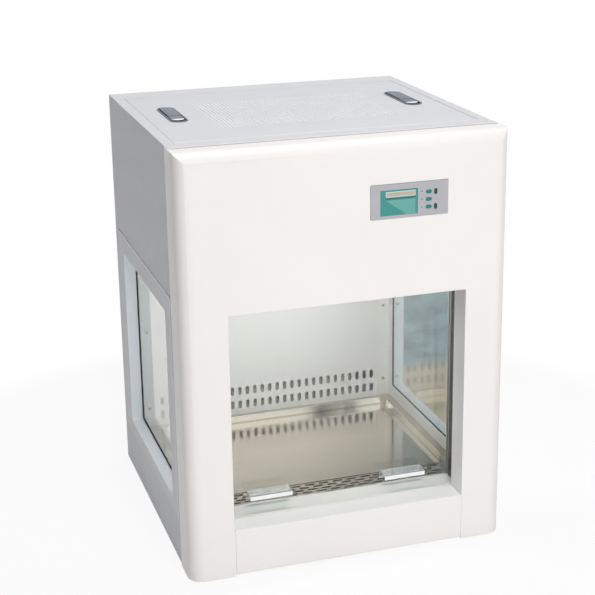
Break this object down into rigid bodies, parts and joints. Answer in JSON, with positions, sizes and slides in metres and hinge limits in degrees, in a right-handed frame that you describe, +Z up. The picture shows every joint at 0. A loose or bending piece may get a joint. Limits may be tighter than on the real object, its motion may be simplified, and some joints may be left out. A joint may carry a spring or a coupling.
{
  "type": "laminar flow hood",
  "caption": "Bench-top vertical laminar flow hood: glazed work chamber with a sliding front sash, steel tray, filtered fan box and lift-off top cover.",
  "frame": {"origin": "on the bench under the middle of the cabinet", "axes": "+Z up, the front faces -Y, +X to the right of someone facing the front"},
  "size_m": [0.604, 0.5941, 0.786],
  "materials": {
    "white_paint": "semi-gloss powder coat",
    "liner_paint": "semi-gloss powder coat",
    "grey_paint": "semi-gloss powder coat",
    "stainless": "bright polished",
    "sill_metal": "satin",
    "guide_aluminium": "satin anodised",
    "clear_glass": "clear float glass",
    "clear_acrylic": "polished acrylic",
    "black_rubber": "matte",
    "filter_paper": "matte",
    "lamp_housing": "gloss",
    "lamp_glass": "frosted",
    "fascia": "satin",
    "display": "gloss",
    "teal_key": "satin",
    "dark_key": "satin",
    "board": "satin",
    "black_plastic": "satin",
    "pull_grey": "satin",
    "steel": "bright",
    "motor": "painted",
    "impeller": "satin"
  },
  "bodies": {
    "cabinet": {"front_moulding": "white_paint", "lower_front_bar": "white_paint", "left_window_surround": "white_paint", "right_window_surround": "white_paint", "left_inner_liner": "liner_paint", "right_inner_liner": "liner_paint", "back_inner_panel": "liner_paint", "plenum_front_wall": "liner_paint", "ceiling_frame": "liner_paint", "left_side_panel": "grey_paint", "right_side_panel": "grey_paint", "back_outer_panel": "grey_paint", "top_frame": "grey_paint", "base_pan": "grey_paint", "work_tray": "stainless", "front_grille": "stainless", "chamber_floor": "stainless", "front_sill": "sill_metal", "diffuser_screen": "sill_metal", "fan_deck": "sill_metal", "inlet_ring": "sill_metal", "motor_bracket": "sill_metal", "left_sash_guide": "guide_aluminium", "right_sash_guide": "guide_aluminium", "hepa_frame": "guide_aluminium", "left_window_glass": "clear_glass", "right_window_glass": "clear_glass", "feet": "black_rubber", "left_window_gasket": "black_rubber", "right_window_gasket": "black_rubber", "hepa_gasket": "black_rubber", "hepa_media": "filter_paper", "lamp_fitting": "lamp_housing", "led_tube": "lamp_glass", "uv_tube": "lamp_glass", "display_fascia": "fascia", "display_window": "display", "control_board": "board", "power_inlet": "black_plastic", "liner_screws": "steel", "rear_screws": "steel", "fan_motor": "motor"},
    "sash": {"sash_glass": "clear_glass", "left_sash_handle": "clear_acrylic", "right_sash_handle": "clear_acrylic"},
    "cover": {"top_cover": "grey_paint", "prefilter_frame": "guide_aluminium", "prefilter_media": "filter_paper", "left_handle_housing": "pull_grey", "right_handle_housing": "pull_grey", "left_handle_pin": "steel", "right_handle_pin": "steel"},
    "left_pull": {"left_handle_lever": "pull_grey"},
    "right_pull": {"right_handle_lever": "pull_grey"},
    "fan_wheel": {"impeller": "impeller"},
    "power_button": {"power_key": "teal_key"},
    "fan_button": {"fan_key": "teal_key"},
    "lamp_button": {"lamp_key": "teal_key"},
    "up_button": {"up_key": "dark_key"},
    "down_button": {"down_key": "dark_key"}
  },
  "joints": [
    {"name": "sash_slide", "type": "slide", "parent": "cabinet", "child": "sash", "axis": [0, 0, 1], "range_m": [0, 0.25]},
    {"name": "cover_lift", "type": "slide", "parent": "cabinet", "child": "cover", "axis": [0, 0, 1], "range_m": [0, 0.12]},
    {"name": "left_pull_flip", "type": "hinge", "parent": "cover", "child": "left_pull", "pos_m": [-0.228, 0.0905, 0.7815], "axis": [-1, 0, 0], "range_deg": [0, 70]},
    {"name": "right_pull_flip", "type": "hinge", "parent": "cover", "child": "right_pull", "pos_m": [0.228, 0.0905, 0.7815], "axis": [-1, 0, 0], "range_deg": [0, 70]},
    {"name": "fan_spin", "type": "hinge", "parent": "cabinet", "child": "fan_wheel", "pos_m": [0, 0.0187, 0.63], "axis": [0, 0, 1], "continuous": true},
    {"name": "power_press", "type": "slide", "parent": "cabinet", "child": "power_button", "axis": [0, 1, 0], "range_m": [0, 0.0008], "stiffness_N_per_m": 1500},
    {"name": "fan_press", "type": "slide", "parent": "cabinet", "child": "fan_button", "axis": [0, 1, 0], "range_m": [0, 0.0008], "stiffness_N_per_m": 1500},
    {"name": "lamp_press", "type": "slide", "parent": "cabinet", "child": "lamp_button", "axis": [0, 1, 0], "range_m": [0, 0.0008], "stiffness_N_per_m": 1500},
    {"name": "up_press", "type": "slide", "parent": "cabinet", "child": "up_button", "axis": [0, 1, 0], "range_m": [0, 0.0008], "stiffness_N_per_m": 1500},
    {"name": "down_press", "type": "slide", "parent": "cabinet", "child": "down_button", "axis": [0, 1, 0], "range_m": [0, 0.0008], "stiffness_N_per_m": 1500}
  ]
}
